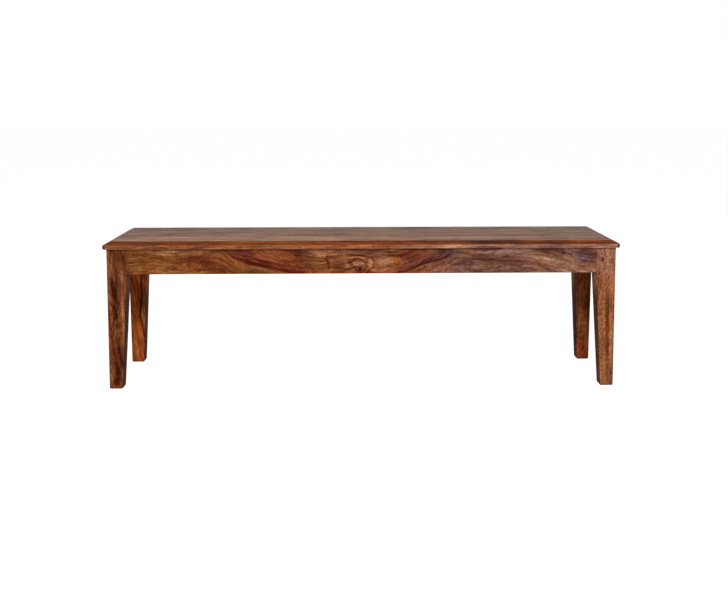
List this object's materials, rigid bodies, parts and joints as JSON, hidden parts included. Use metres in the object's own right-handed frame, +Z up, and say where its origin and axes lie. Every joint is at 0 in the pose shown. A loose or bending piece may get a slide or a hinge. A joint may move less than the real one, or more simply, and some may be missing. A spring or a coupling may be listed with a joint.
{
  "type": "dining bench",
  "caption": "Solid wood dining bench: long seat with a bevelled rim on tapered square legs and plain aprons, with braces, rails and buttons beneath.",
  "frame": {"origin": "on the floor, midway between the four feet", "axes": "+X along the bench to the right of someone facing its front, +Y from front to back, +Z up"},
  "size_m": [1.562, 0.35, 0.45],
  "materials": {
    "seat_wood": "satin lacquer on brown hardwood",
    "leg_wood": "satin lacquer on brown hardwood",
    "apron_wood": "satin lacquer on brown hardwood",
    "inner_wood": "thinly sealed hardwood",
    "joint_wood": "bare planed hardwood",
    "screw_steel": "zinc plated"
  },
  "bodies": {
    "root": {"seat_board_front": "seat_wood", "seat_board_middle": "seat_wood", "seat_board_back": "seat_wood", "seat_spline_front": "joint_wood", "seat_spline_back": "joint_wood", "leg_front_left": "leg_wood", "leg_front_right": "leg_wood", "leg_back_left": "leg_wood", "leg_back_right": "leg_wood", "apron_front": "apron_wood", "apron_back": "apron_wood", "apron_left": "apron_wood", "apron_right": "apron_wood", "corner_brace_front_left": "inner_wood", "corner_brace_front_right": "inner_wood", "corner_brace_back_left": "inner_wood", "corner_brace_back_right": "inner_wood", "corner_brace_screws": "screw_steel", "cross_rail_1": "inner_wood", "cross_rail_2": "inner_wood", "cross_rail_screws": "screw_steel", "button_front_1": "inner_wood", "button_front_2": "inner_wood", "button_back_1": "inner_wood", "button_back_2": "inner_wood", "button_left": "inner_wood", "button_right": "inner_wood", "button_screws": "screw_steel"}
  },
  "joints": []
}
